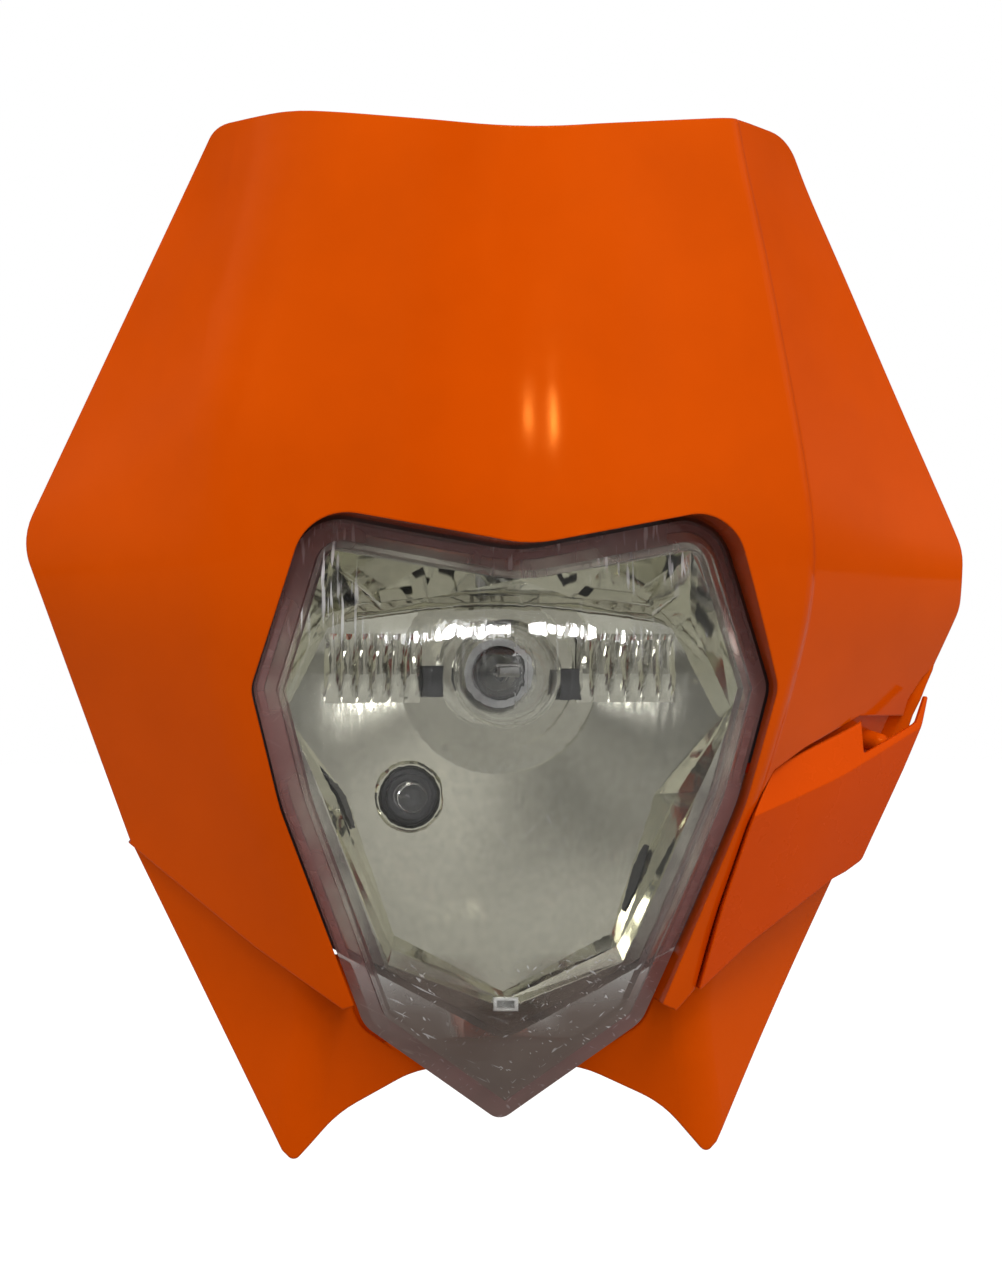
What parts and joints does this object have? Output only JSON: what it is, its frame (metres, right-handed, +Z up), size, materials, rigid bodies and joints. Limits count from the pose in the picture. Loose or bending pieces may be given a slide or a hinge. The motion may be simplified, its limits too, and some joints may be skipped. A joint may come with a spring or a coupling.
{
  "type": "motorcycle headlight mask",
  "caption": "Front number-plate style mask of an off-road motorcycle with a V-shaped clear lamp that tilts in it, and a clip-on hose guide on one cheek.",
  "frame": {"origin": "midway between the roots of the two tongues under the lamp, level with the middle of their thickness", "axes": "+Z up the mask, -Y towards the viewer in front of the motorcycle, +X to that viewer's right"},
  "size_m": [0.2913, 0.1216, 0.3132],
  "materials": {
    "shell_orange": "glossy moulded polypropylene, orange",
    "cover_orange": "satin moulded polypropylene, orange",
    "brass": "turned brass",
    "clear_lens": "clear polycarbonate under a wrinkled film",
    "seal": "dark sealing compound",
    "housing_black": "matte black moulded plastic",
    "reflector_metal": "vacuum-metallised, mirror bright",
    "rubber": "moulded rubber",
    "steel": "zinc-plated steel",
    "bulb_glass": "clear blown glass",
    "black_plastic": "black plastic",
    "filament": "drawn wire",
    "clip_white": "white moulded plastic"
  },
  "bodies": {
    "mask": {"mask_shell": "shell_orange", "hose_cover": "cover_orange", "upper_inserts": "brass", "swivel_bush_left": "rubber", "swivel_bush_right": "rubber"},
    "lamp": {"lens": "clear_lens", "lens_seal": "seal", "lamp_housing": "housing_black", "reflector": "reflector_metal", "swivel_screw_left": "steel", "swivel_screw_right": "steel", "adjuster_washer": "steel", "adjuster_screw": "steel", "bulb_globe": "bulb_glass", "bulb_cap": "brass", "bulb_insulator": "black_plastic", "bulb_contacts": "brass", "bulb_carrier": "reflector_metal", "bulb_lock_ring": "steel", "rubber_boot": "rubber", "breather_cap": "rubber", "bulb_stem": "bulb_glass", "filament_main": "filament", "filament_dip": "filament", "filament_wires": "filament", "dip_shield": "steel", "position_bulb": "bulb_glass", "position_lamp_holder": "black_plastic", "reflector_clip": "clip_white"}
  },
  "joints": [
    {"name": "lamp_tilt", "type": "hinge", "parent": "mask", "child": "lamp", "pos_m": [0, -0.021, 0.1185], "axis": [1, 0, 0], "range_deg": [-1.5, 1.5]}
  ]
}
